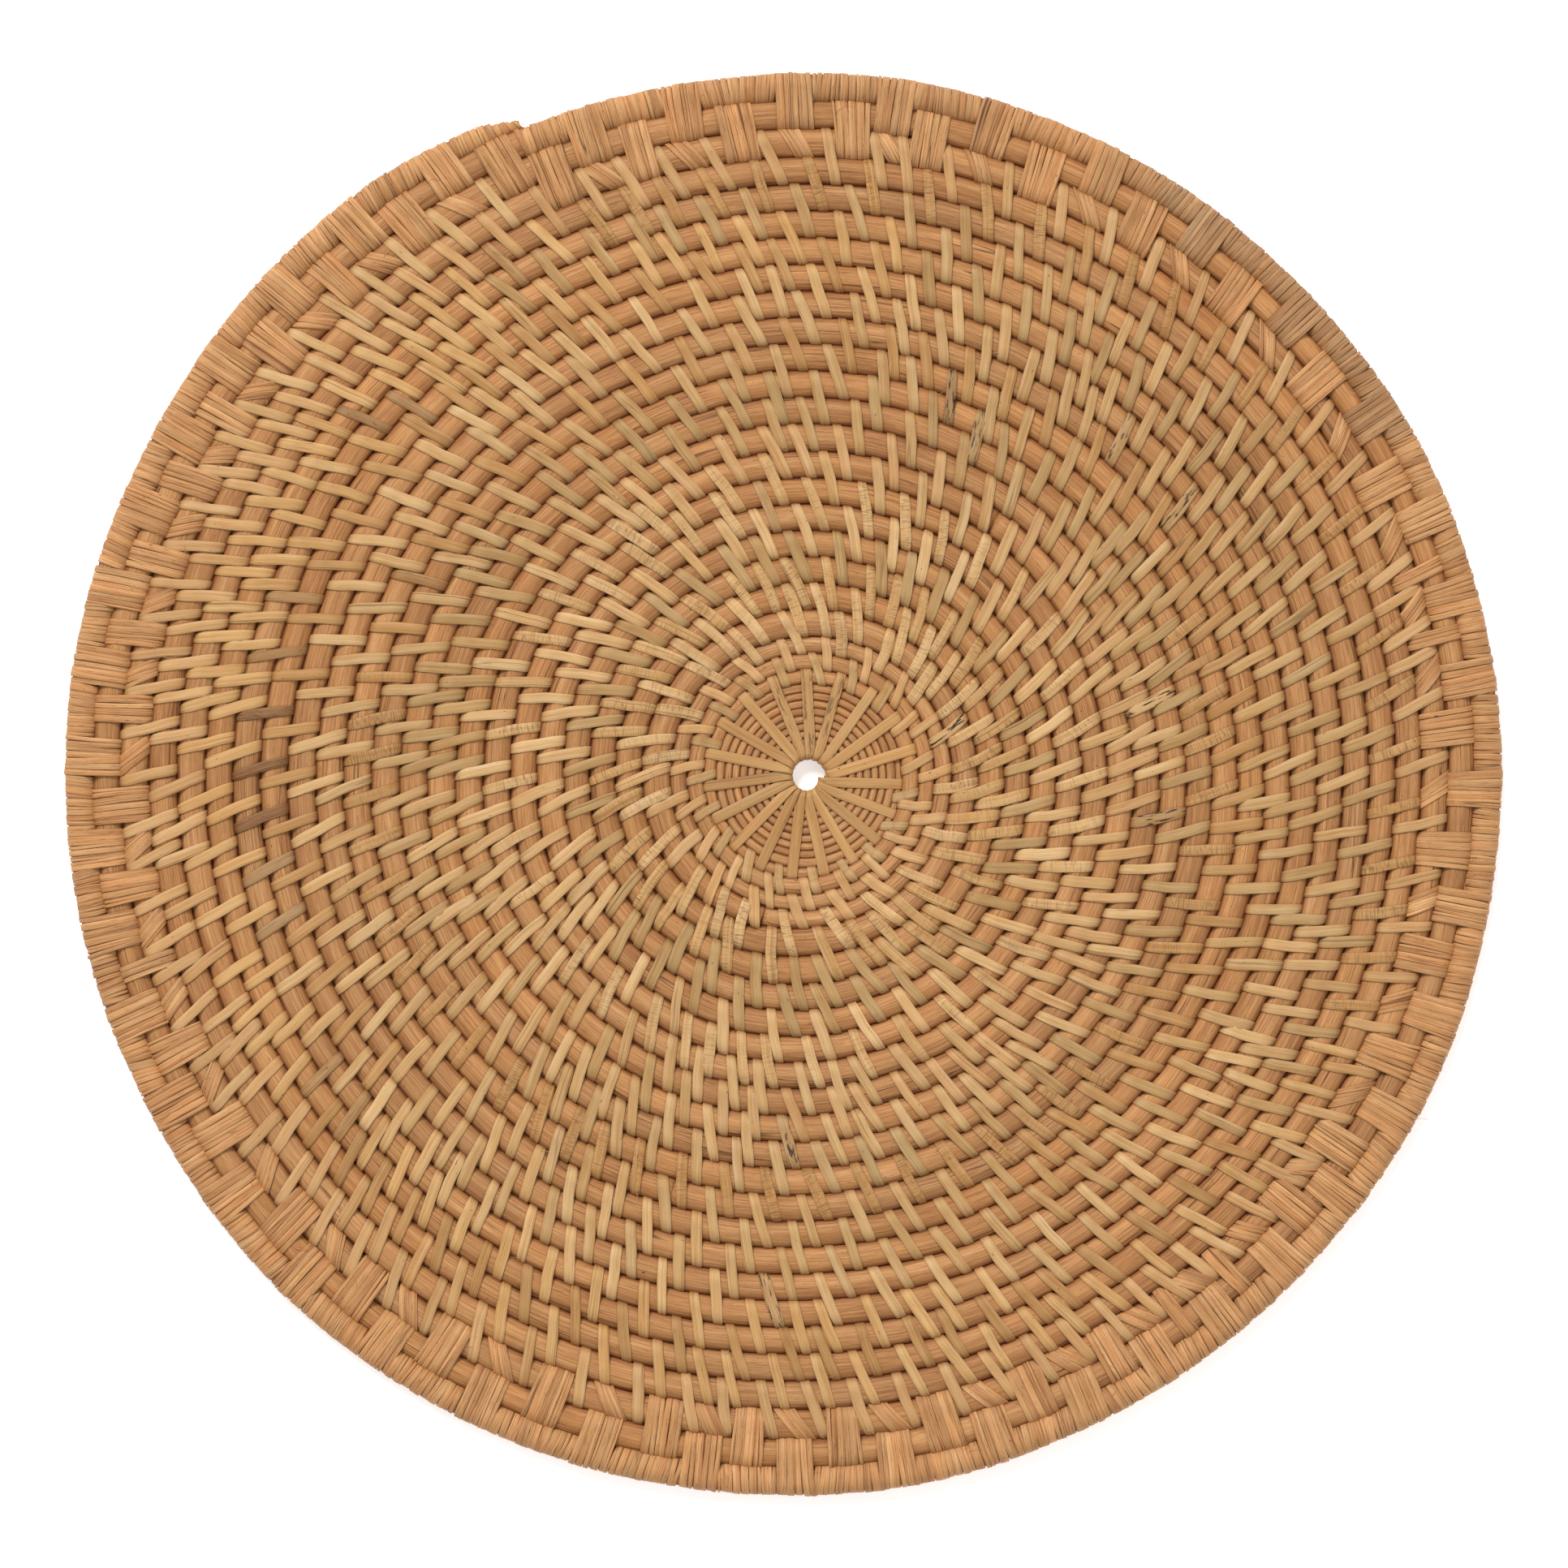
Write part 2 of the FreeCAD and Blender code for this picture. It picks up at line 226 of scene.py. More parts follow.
# ---- meshes ----
def write_mesh(name, sweeps, material, node):
    """One object from swept rings. Each sweep holds rings, fibre, tint and speck."""
    points, faces, fibres, tints, specks = [], [], [], [], []
    start = 0
    for sweep in sweeps:
        rings = sweep["rings"]
        count, around = rings.shape[:2]
        index = start + np.arange(count * around).reshape(count, around)
        right = np.roll(index, -1, axis=1)
        quads = np.stack([index[:-1], right[:-1], right[1:], index[1:]], -1).reshape(-1, 4)
        faces += quads.tolist()
        faces.append(index[0][::-1].tolist())
        faces.append(index[-1].tolist())
        points.append(rings.reshape(-1, 3))
        fibres.append(sweep["fibre"].reshape(-1, 3))
        tints.append(np.broadcast_to(sweep["tint"], (count, around, 3)).reshape(-1, 3))
        specks.append(np.broadcast_to(sweep["speck"][:, None], (count, around)).reshape(-1))
        start += count * around
    points = np.concatenate(points) * MM
    points[:, :2] += HOLE
    points[:, 2] += MID_HEIGHT
    mesh = bpy.data.meshes.new(name)
    mesh.from_pydata(points.tolist(), [], faces)
    mesh.shade_smooth()
    fibre = mesh.attributes.new("fibre", "FLOAT_VECTOR", "POINT")
    fibre.data.foreach_set("vector", np.concatenate(fibres).astype(np.float32).ravel())
    tint = mesh.attributes.new("tint", "FLOAT_VECTOR", "POINT")
    tint.data.foreach_set("vector", np.concatenate(tints).astype(np.float32).ravel())
    speck = mesh.attributes.new("speck", "FLOAT", "POINT")
    speck.data.foreach_set("value", np.concatenate(specks).astype(np.float32))
    mesh.materials.append(material)
    piece = bpy.data.objects.new(name, mesh)
    bpy.context.scene.collection.objects.link(piece)
    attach(piece, "root")
    if node:
        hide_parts(node)
    return piece


# Darkest colour factor of the painted shade down in the seams between rows.
PAINTED_SEAM_SHADE = np.array([0.43, 0.24, 0.14])


def painted_seam_shade(level):
    """Painted shade: a colour factor that darkens a surface by how high it stands: 0 is down in a seam, 1 the
    top of a rod.
    """
    depth = 1.0 - smooth(0.22, 0.83, level)
    return 1.0 + depth[..., None] * (PAINTED_SEAM_SHADE - 1.0)


def path_frames(path, facing):
    """Tangent, across and normal vectors of a strip whose broad side looks along facing."""
    tangent = unit(np.gradient(path, axis=0))
    across = unit(np.cross(tangent, facing))
    normal = np.cross(across, tangent)
    return tangent, across, normal


def path_length(path):
    steps = np.linalg.norm(np.diff(path, axis=0), axis=1)
    return np.concatenate([[0.0], np.cumsum(steps)])


STRIP_SECTION = np.array(
    [(-0.48, 0.0), (-0.5, 0.55), (-0.45, 0.86), (-0.2, 0.97),
     (0.2, 1.0), (0.46, 0.88), (0.5, 0.55), (0.48, 0.0)]
)
THIN_SECTION = np.array([(-0.48, 0.0), (-0.5, 0.6), (-0.36, 0.95), (0.34, 1.0), (0.5, 0.65), (0.48, 0.0)])


def strip_sweep(path, facing, width, thickness, tint, speck, seed, section=STRIP_SECTION, roll=None):
    """A flat strip with a crowned outer face along a path on its inner face."""
    _, across, normal = path_frames(path, facing)
    if roll is not None:
        c, s = np.cos(roll)[:, None], np.sin(roll)[:, None]
        across, normal = across * c + normal * s, normal * c - across * s
    width = np.broadcast_to(width, len(path))
    side = width[:, None] * section[None, :, 0]
    lift = thickness * section[None, :, 1] * np.ones_like(side)
    rings = path[:, None] + across[:, None] * side[..., None] + normal[:, None] * lift[..., None]
    along = np.broadcast_to(path_length(path)[:, None], side.shape)
    fibre = np.stack([along + seed * 37.0, side, lift * 0.5 + seed * 11.3], -1)
    return {"rings": rings, "fibre": fibre, "tint": tint[:, None], "speck": speck}


def rod_sweep(start, end, step, around, seed, tint, roughness, ends):
    """A cane or reed that follows the winding. Its ends lose some height, but no width."""
    mean = float(distance((start + end) / 2.0))
    count = max(8, int((end - start) * TAU * mean / step))
    turn = np.linspace(start, end, count)
    path = place(distance(turn), -TAU * turn, np.zeros(count))
    length = path_length(path)
    up = np.broadcast_to([0.0, 0.0, 1.0], path.shape)
    tangent = unit(np.gradient(path, axis=0))
    outward = unit(np.cross(up, tangent)) * -1.0
    outward *= np.sign(np.sum(outward * path, -1))[:, None]
    angle = np.linspace(0, TAU, around, endpoint=False)
    radius = rod_radius(turn)[:, None] * np.ones(around)
    shape = np.zeros_like(radius)
    for wave, size in ((2, 0.9), (3, 0.8), (5, 0.6), (8, 0.5)):
        turnover = drift(length, seed * 7 + wave, 260.0 / wave)[:, None] * 1.6
        shape += size * np.cos(wave * angle[None] + turnover + seed * wave)
    radius *= 1.0 + roughness * shape + 0.022 * drift(length, seed + 3, 90.0)[:, None]
    inner, outer = (half / rod_radius(turn) for half in half_widths(turn))
    stretch = np.where(np.cos(angle)[None] > 0, outer[:, None], inner[:, None])
    side = radius * stretch * np.cos(angle)
    drop = ends[0] * (1.0 - smooth(0.0, NOTCH, length))
    drop += ends[1] * (1.0 - smooth(0.0, NOTCH, length[-1] - length))
    height = radius * np.sin(angle) * (1.0 - drop)[:, None]
    rings = path[:, None] + outward[:, None] * side[..., None] + up[:, None] * height[..., None]
    along = np.broadcast_to(length[:, None], side.shape)
    fibre = np.stack([along + seed * 53.0, side, height + seed * 19.7], -1)
    # Painted shade: the rod's colour darkens towards its flanks, where the seams lie.
    tints = tint(length)[:, None] * painted_seam_shade(np.abs(np.sin(angle[::-1])))
    return {"rings": rings[:, ::-1], "fibre": fibre[:, ::-1], "tint": tints, "speck": np.zeros(count)}


# ---- where the stitches go, worked out as in the CAD model ----
def threshold(dist, number):
    span = THRESHOLD_END_RADIUS - THRESHOLD_START_RADIUS
    share = min(max((dist - THRESHOLD_START_RADIUS) / span, 0.0), 1.0)
    limit = NARROW_THRESHOLD + (WIDE_THRESHOLD - NARROW_THRESHOLD) * share
    return limit * (1.0 + THRESHOLD_SPREAD * (number * GOLDEN_STEP % 1.0))


def places_between(space, limit):
    room = STRIP_WIDTH + NEIGHBOUR_CLEARANCE
    if space <= limit:
        return [min(max(space / 2.0 - STITCH_OFFSET, room), space - room)]
    half = max(2 * room, 0.45 * space) / 2.0
    middle = max(space / 2.0 - STITCH_OFFSET, room + half)
    return [middle - half, middle + half]


def plain_distance(turn):
    turn = np.float64(turn)
    rule = middle_crossing if turn < CANE_START else cane_crossing
    return float(arc_distance(turn, rule))


def lay_out_stitches():
    """Spoke turns, then (inner, outer) turns of every stitch, then what crosses the last round."""
    spokes = [MIDDLE_START + (n + 0.7) / SPOKE_COUNT for n in range(SPOKE_COUNT)]
    crossings, stitches, index = list(spokes), [], 0
    while True:
        first, last = crossings[index], crossings[index + 1]
        dist = plain_distance(first)
        space = (last - first) * TAU * dist
        for along in places_between(space, threshold(dist, index)):
            turn = first + along / (TAU * dist)
            if turn >= LAST_STITCH_TURN:
                return spokes, stitches, crossings[index:]
            far = plain_distance(turn + 1.0)
            lean = (far - plain_distance(turn)) * math.tan(STITCH_LEAN)
            crossing = turn + 1.0 - lean / (TAU * far)
            stitches.append((turn, crossing))
            crossings.append(crossing)
        index += 1


spoke_turns, stitch_turns, last_crossings = lay_out_stitches()


# ---- stitches ----
TOP_SAMPLES = 8
ARC_SAMPLES = 7
UNDER_SAMPLES = 8


class Rod:
    """A rod cut across at one place of the winding, with something lying on its surface."""

    def __init__(self, turn, lay):
        self.dist = float(distance(turn))
        self.height = float(rod_radius(turn)) + lay
        inner, outer = half_widths(np.float64(turn))
        self.inner, self.outer = float(inner) + lay, float(outer) + lay

    def arc(self, first, last, count):
        """Distance and height along its surface, from the outer side (0) over the top (90)."""
        angle = np.radians(np.linspace(first, last, count))
        half = np.where(np.cos(angle) > 0, self.outer, self.inner)
        return self.dist + half * np.cos(angle), self.height * np.sin(angle)


def join(*parts):
    return np.concatenate([p[0] for p in parts]), np.concatenate([p[1] for p in parts])


def bridge(start, end, count, sag=0.0):
    """Straight from the end of one arc to the start of the next, with a little sag."""
    f = np.linspace(0, 1, count + 2)[1:-1]
    x = start[0][-1] + (end[0][0] - start[0][-1]) * f
    return x, start[1][-1] + (end[1][0] - start[1][-1]) * f - sag * np.sin(np.pi * f)


def over_profile(inner, outer, sag):
    """A strip that comes up outside, crosses both rods and goes down inside."""
    up, down = outer.arc(-8, 84, ARC_SAMPLES), inner.arc(96, 188, ARC_SAMPLES)
    return join(up, bridge(up, down, TOP_SAMPLES, sag), down)


def under_profile(inner, outer):
    """The way back underneath, from the inner gap to the outer one."""
    down, up = inner.arc(200, 264, 4), outer.arc(276, 340, 4)
    return join(down, bridge(down, up, UNDER_SAMPLES - 2), up)


def strand(stitches, following, style):
    """One strip wound through a run of stitches, as a path with its facing directions."""
    paths, facings, widths, owners, levels = [], [], [], [], []
    lay = STRIP_THICKNESS * 0.15
    for number, (turn, crossing) in enumerate(stitches):
        look = style(turn)
        inner, outer = Rod(turn, lay), Rod(crossing, lay)
        angle_in, angle_out = -TAU * turn, -TAU * crossing + TAU
        dist, z = over_profile(inner, outer, look["sag"])
        f = (dist - inner.dist) / (outer.dist - inner.dist)
        bow = look["bow"] * np.sin(np.pi * np.clip(f, 0, 1)) / dist
        shift = (look["shift"] + look["lean"] * (f - 0.5)) / dist
        angle = angle_in + (angle_out - angle_in) * f + bow + shift
        next_turn, next_crossing = stitches[number + 1] if number + 1 < len(stitches) else following
        next_outer = Rod(next_crossing, lay)
        back, low = under_profile(inner, next_outer)
        g = smooth(inner.dist - inner.inner, next_outer.dist + next_outer.outer, back)
        end_f = 1.0 + next_outer.outer / (next_outer.dist - inner.dist)
        next_in, next_out = -TAU * next_turn, -TAU * next_crossing + TAU
        angle_end = next_in + (next_out - next_in) * end_f
        under = angle[-1] + (angle_end - angle[-1]) * g
        dist, z = join((dist, z), (back, low))
        angle = np.concatenate([angle, under])
        paths.append(place(dist, angle, z))
        step_r, step_z = np.gradient(dist), np.gradient(z)
        facings.append(place(step_z, angle, -step_r))
        pinch = 1.0 - 0.16 * np.exp(-((np.arange(len(dist)) - 1.5) / 2.2) ** 2)
        pinch -= 0.18 * np.exp(-((np.arange(len(dist)) - (2 * ARC_SAMPLES + TOP_SAMPLES - 1.0)) / 2.5) ** 2)
        widths.append(look["width"] * pinch)
        owners.append(np.full(len(dist), number))
        # How high each ring stands on its rod, which sets the painted seam shade.
        nearer = np.where(dist > (inner.dist + outer.dist) / 2.0, outer.height, inner.height)
        levels.append(np.abs(z) / nearer)
    return [np.concatenate(part) for part in (paths, facings, widths, owners, levels)]


def stitch_style(turn):
    """How one stitch differs from the next."""
    near = rng.uniform(-1, 1, 6)
    return {
        "width": STRIP_WIDTH * (0.95 + 0.09 * near[0]) * (0.86 if turn < -1 else 1.0),
        "sag": 0.22 + 0.10 * near[1],
        "bow": 0.22 * near[2],
        "shift": 0.24 * near[3],
        "lean": 0.75 * near[4],
    }


PEEL_TONES = np.array([
    (1.00, 1.00, 1.00), (1.08, 1.10, 1.14), (0.90, 0.89, 0.84), (1.05, 1.01, 0.94), (0.93, 0.97, 0.95),
    (1.04, 0.99, 0.99), (0.86, 0.84, 0.80), (1.12, 1.15, 1.22), (0.88, 0.78, 0.66), (0.80, 0.80, 0.76),
])
CHECKED_SHARE = 0.10
BROWN = np.array([0.42, 0.33, 0.30])
SPLIT_SHARE = 0.12
# Marked strips seen in the photo: distance from the hole, degrees, brown share, black specks.
MARKS = (
    (144.5, 162.0, 0.5, 0.1), (144.5, 167.0, 0.6, 0.1), (144.5, 172.0, 0.9, 0.3), (145.0, 177.5, 1.0, 0.4),
    (145.0, 182.5, 1.0, 0.3), (145.0, 187.0, 0.6, 0.1), (145.5, 191.0, 0.6, 0.1), (145.0, 196.5, 0.6, 0.2),
    (94.0, 12.0, 0.0, 1.0), (96.0, -3.0, 0.4, 1.0), (110.0, 71.0, 0.5, 1.0), (38.0, 9.0, 0.0, 1.0),
    (119.0, 46.0, 0.3, 0.8), (123.0, 36.0, 0.25, 0.9), (115.0, 155.0, 0.5, 0.2), (148.0, 141.0, 0.7, 0.2),
    (144.0, 135.0, 0.6, 0.1), (135.0, -96.0, 0.3, 0.9), (95.0, -92.0, 0.3, 0.9), (153.0, 216.0, 0.6, 0.2),
    (149.0, 209.0, 0.5, 0.2), (72.0, 100.0, 0.3, 0.1), (101.0, 62.0, 0.2, 0.8), (160.0, 122.0, 0.5, 0.3),
)


def marked_stitches():
    """Brown share and black specks of the stitches nearest to the marks above."""
    middles = np.array([(turn + crossing - 1.0) / 2.0 for turn, crossing in stitch_turns])
    spots = place((distance(middles) + distance(middles + 1.0)) / 2.0, -TAU * middles, 0.0)
    found = {}
    for dist, degrees, brown, black in MARKS:
        spot = place(np.array(dist), np.radians(degrees), 0.0)
        nearest = int(np.argmin(np.linalg.norm(spots - spot, axis=1)))
        found[stitch_turns[nearest]] = brown, black
    return found


def slivers(path, facing, width, tint, owner, seed):
    """Thin slivers lying on a few stitches, where the peel has split along its grain."""
    sweeps = []
    for number in np.unique(owner):
        if rng.uniform() > SPLIT_SHARE:
            continue
        rows = np.flatnonzero(owner == number)[1:2 * ARC_SAMPLES + TOP_SAMPLES - 1]
        _, across, normal = path_frames(path[rows], facing[rows])
        f = np.linspace(0, 1, len(rows))
        side = rng.choice([-1, 1]) * (0.16 + 0.22 * rng.uniform()) + rng.uniform(-0.12, 0.12) * (f - 0.5)
        lift = 0.62 * STRIP_THICKNESS + 0.08 * np.sin(np.pi * f)
        line = path[rows] + across * (side * width[rows])[:, None] + normal * lift[:, None]
        tone = tint[rows] * rng.uniform(0.9, 1.07)
        thin = rng.uniform(0.45, 0.95) * (1.0 - 0.4 * f)
        plain = np.zeros(len(rows))
        sweeps.append(strip_sweep(line, facing[rows], thin, 0.22, tone, plain, seed + number, THIN_SECTION))
    return sweeps


FRAY_SHARE = 0.14
FIBRE_TINT = np.array([1.0, 0.96, 0.92])


def fray_rows(owner):
    """Rings near the ends of a few stitches, where a fibre has come loose."""
    starts = np.flatnonzero(np.diff(owner, prepend=-1))
    chosen = starts[rng.uniform(size=len(starts)) < FRAY_SHARE]
    return chosen + rng.choice([4, 2 * ARC_SAMPLES + TOP_SAMPLES - 5], len(chosen))


def loose_fibre(root, length, thickness, heading=None, curl=None):
    """A thin fibre that springs from a strip and lies over the weave."""
    count = 12
    f = np.linspace(0, 1, count)
    heading = rng.uniform(0, TAU) if heading is None else heading
    curl = rng.uniform(-1.6, 1.6) if curl is None else curl
    direction = heading + curl * f
    step = length / count
    x, y = np.cumsum(np.cos(direction)) * step, np.cumsum(np.sin(direction)) * step
    z = 0.35 + 0.25 * np.sin(np.pi * f) + np.zeros(count)
    path = root + np.stack([x, y, z * np.sign(root[2])], -1)
    facing = np.broadcast_to([0.0, 0.0, 1.0], path.shape)
    tint = np.broadcast_to(FIBRE_TINT * rng.uniform(0.7, 1.05), path.shape)
    width = thickness * (1.0 - 0.6 * f)
    return strip_sweep(path, facing, width, 0.09, tint, np.zeros(count), 7, THIN_SECTION)


def build_stitches(material):
    rounds = {}
    for pair in stitch_turns:
        rounds.setdefault(math.floor(pair[0] - MIDDLE_START) + 1, []).append(pair)
    ends = {n: pairs[0] for n, pairs in rounds.items()}
    left, marks = 0, marked_stitches()
    for number, pairs in rounds.items():
        following = ends.get(number + 1, (pairs[-1][0] + 0.01, pairs[-1][1] + 0.01))
        path, facing, width, owner, level = strand(pairs, following, stitch_style)
        tones, checks = [], []
        for _ in pairs:
            if left <= 0:
                left = int(rng.integers(14, 46))
                tone = PEEL_TONES[rng.integers(len(PEEL_TONES))] * rng.uniform(0.93, 1.04)
                checked = -1.0 if rng.uniform() < CHECKED_SHARE else 0.0
            left -= 1
            checks.append(checked * rng.uniform(0.3, 1.0))
            tones.append(tone * rng.uniform(0.94, 1.05))
        brown, speck = np.array([marks.get(pair, (0.0, 0.0)) for pair in pairs])[owner].T
        speck = np.where(speck > 0, speck, np.array(checks)[owner])
        # The tint holds the stitch's tone, its brown marks and painted shade towards the seams.
        tint = np.array(tones)[owner] * (1.0 + brown[:, None] * (BROWN - 1.0)) * painted_seam_shade(level)
        sweeps = [strip_sweep(path, facing, width, STRIP_THICKNESS, tint, speck, number)]
        sweeps += slivers(path, facing, width, tint, owner, 300 * number)
        sweeps += [loose_fibre(path[row], rng.uniform(2.0, 4.5), 0.11) for row in fray_rows(owner)]
        node = f"stitch_round_{number:02d}"
        write_mesh(f"peel_stitches_{number:02d}", sweeps, material, node)


# ---- spokes at the centre ----
SPOKE_OFFSET = 1.15
SPOKE_ROLL = math.radians(21.0)
SPOKE_TONE = np.array([0.93, 0.85, 0.76])
PALE_SPOKES = (18,)
CRACKED_SPOKES = (13, 14, 15)


def build_spokes(material):
    sweeps = []
    hub = float(distance(FINE_END - FINE_TURNS))
    for number, turn in enumerate(spoke_turns):
        outer, inner = Rod(turn, 0.06), Rod(FINE_END - FINE_TURNS + number / SPOKE_COUNT, 0.06)
        dist, z = over_profile(inner, outer, 0.0)
        reed_top = FINE_RADIUS + 0.1
        cover = smooth(outer.dist - 5.0, outer.dist - 1.0, dist)
        on_top = (z > 0.6 * reed_top) & (dist < outer.dist) & (dist > hub)
        z = np.where(on_top, reed_top + (outer.height - reed_top) * cover, z)
        chord = np.arcsin(np.clip(SPOKE_OFFSET / dist, -1, 1)) - math.asin(SPOKE_OFFSET / outer.dist)
        angle = -TAU * turn - chord
        next_turn = turn + 1.0 / SPOKE_COUNT
        back, low = under_profile(inner, outer)
        low = np.where((back > hub) & (back < outer.dist - 4.0), -reed_top, low)
        g = smooth(hub, outer.dist, back)
        under = angle[-1] + (-TAU * next_turn - angle[-1]) * g
        dist, z = join((dist, z), (back, low))
        angle = np.concatenate([angle, under])
        path = place(dist, angle, z)
        facing = place(np.gradient(z), angle, -np.gradient(dist))
        fan = 1.0 - smooth(4.5, 10.5, dist)
        roll = SPOKE_ROLL * fan
        facing_unit = unit(facing)
        path = path + facing_unit * (0.5 * fan)[:, None]
        width = (2.8 + 0.2 * rng.uniform(-1, 1)) * (1.0 - 0.12 * fan)
        tone = SPOKE_TONE * rng.uniform(0.9, 1.1)
        if number in PALE_SPOKES:
            tone = SPOKE_TONE * 1.17
        tint = np.broadcast_to(tone, (len(path), 3))
        speck = np.full(len(path), 0.55 if number in CRACKED_SPOKES else 0.0)
        sweeps.append(strip_sweep(path, facing, width, 0.30, tint, speck, number + 40, roll=roll))
    write_mesh("centre_spokes", sweeps, material, "centre_spoke_strips")


# ---- rods ----
def cane_tint(seed):
    """Slow changes of colour along a cane."""
    def tint(length):
        value = 0.98 + 0.10 * drift(length, seed, 420.0) + 0.05 * drift(length, seed + 9, 60.0)
        warm = 0.03 * drift(length, seed + 5, 700.0)
        return np.stack([value * (1 + warm), value, value * (1 - 2.0 * warm)], -1)
    return tint


def build_rods(cane, reed):
    fine = rod_sweep(FINE_END - FINE_TURNS + REED_START, FINE_END, 0.9, 12, 3, cane_tint(3), 0.02, (0.1, 0.1))
    write_mesh("fine_reed", [fine], reed, "centre_reed_coil")
    middle = rod_sweep(FINE_END + TOUCH, CANE_START - TOUCH, 1.0, 18, 5, cane_tint(5), 0.014, (0.1, 0.4))
    write_mesh("middle_reed", [middle], reed, "middle_reed_coil")
    places = (CANE_START, *CANE_JOINTS, CANE_END)
    for number, (first, last) in enumerate(zip(places, places[1:])):
        over = turns_for(OVERLAP, last) if last < CANE_END else 0.0
        ends = JOINT_DROPS[number], JOINT_DROPS[number + 1]
        sweep = rod_sweep(first, last + over, 1.25, 24, 11 + number, cane_tint(11 + number), 0.010, ends)
        write_mesh(f"cane_{number + 1}", [sweep], cane, f"cane_length_{number + 1}")


# ---- the rim ----
def loop_profile(inner, outer):
    """A loop round one rod, or round two, with its ends hidden in the seam on the inner side."""
    if inner is None:
        return outer.arc(-180, 180, 27)
    start, rise, fall = inner.arc(180, 266, 6), outer.arc(-86, 86, 13), inner.arc(94, 180, 6)
    return join(start, bridge(start, rise, 4), rise, bridge(rise, fall, 4, 0.12), fall)


RIM_THICKNESS = 0.32
RIM_TONES = np.array([
    (1.0, 1.0, 1.0), (1.05, 1.04, 1.02), (0.93, 0.9, 0.87), (1.03, 0.98, 0.93), (0.97, 0.98, 0.97),
])
GREY = np.array([0.66, 0.72, 0.82])


def weathered(angle):
    """Share of grey weathering on the rim, which the photo shows at the upper right."""
    degrees = (np.degrees(angle) + 180.0) % 360.0 - 180.0
    main = 0.9 * smooth(26, 33, degrees) * (1 - smooth(58, 66, degrees))
    faint = 0.35 * smooth(70, 77, degrees) * (1 - smooth(88, 95, degrees))
    return float(main + faint)


def wrap_sweeps(start, end, rods, strand_width, seed, slant=0.0):
    """Thin strips laid side by side round the rim's rods between two places of the winding."""
    dist = float(distance((start + end) / 2.0))
    total = (end - start) * TAU * dist
    count = max(1, round(total / strand_width))
    cuts = np.cumsum(rng.uniform(0.45, 1.6, count))
    cuts = np.concatenate([[0.0], cuts / cuts[-1]]) * total
    lean = rng.uniform(-0.4, 0.4)
    sweeps = []
    for number in range(count):
        first, last = cuts[number], cuts[number + 1]
        turn = start + (first + last) / 2.0 / (TAU * dist)
        lay = 0.02 + (0.42 if rods == 2 else 0.28) * rng.uniform()
        r, z = loop_profile(Rod(turn - 1.0, lay) if rods == 2 else None, Rod(turn, lay))
        share = np.linspace(0, 1, len(r))
        lean += rng.uniform(-0.25, 0.25)
        lean = min(max(lean, -0.55), 0.55)
        wander = 0.12 * rng.uniform() * np.sin(TAU * (2 * share + rng.uniform()))
        sway = lean * np.cos(TAU * share) + wander
        across = (r - r.min()) / (r.max() - r.min()) - 0.5
        angle = -TAU * turn - (sway - slant * across) / dist
        tone = RIM_TONES[rng.integers(len(RIM_TONES))] * rng.uniform(0.88, 1.06)
        grey = weathered(angle[0]) * rng.uniform(0.6, 1.0) * (turn > CANE_END - 1.05) * (slant < 0.9)
        tone = tone * (1.0 + grey * (GREY - 1.0))
        path = place(r, angle, z)
        facing = place(np.gradient(z), angle, -np.gradient(r))
        width = (last - first) * rng.uniform(0.9, 1.1)
        thickness = RIM_THICKNESS * rng.uniform(0.8, 1.15)
        tint = np.broadcast_to(tone, (len(path), 3))
        plain = np.zeros(len(path))
        sweeps.append(strip_sweep(path, facing, width, thickness, tint, plain, seed + number, THIN_SECTION))
    return sweeps


RIM_FRAYS = 20
INNER_STRIP, OUTER_STRIP, EDGE_STRIP = 1.6, 1.55, 1.6
DIAGONAL_STRIP = 1.25
INNER_SLANT, OUTER_SLANT = 1.0, 0.4
EDGE_MARGIN = 2.0
LAST_ROUND = 21.0
TIP_HAIR_HEADING = math.radians(20.0)
DIAGONAL_BAND = 5.4
DIAGONAL_SLANT = 6.6


def diagonal_sweeps(spans):
    """The strips that pass slantwise over one cane from each inner binding to the next."""
    sweeps = []
    for number, (first, last) in enumerate(spans):
        dist = float(distance(first))
        middle, half = (first + last) / 2.0, DIAGONAL_BAND / 2.0 / (TAU * dist)
        slant = DIAGONAL_SLANT * rng.uniform(0.8, 1.1)
        sweeps += wrap_sweeps(middle - half, middle + half, 1, DIAGONAL_STRIP, 2300 + 5 * number, slant)
    return sweeps


def inner_block_places():
    """Turn and width of every inner binding, and the stretches of cane left between them."""
    blocks, spans = [], []
    crossings = last_crossings + [2.0 * last_crossings[-1] - last_crossings[-2]]
    pairs = list(zip(crossings, crossings[1:]))
    for number, (first, last) in enumerate(pairs):
        middle = (first + last) / 2.0
        if middle >= INNER_BLOCK_END:
            break
        space = (last - first) * TAU * plain_distance(middle)
        if number % 2:
            spans.append((first, last))
        else:
            blocks.append((middle, min(BLOCK_WIDTH, space - STRIP_WIDTH - 0.3)))
    return blocks, spans


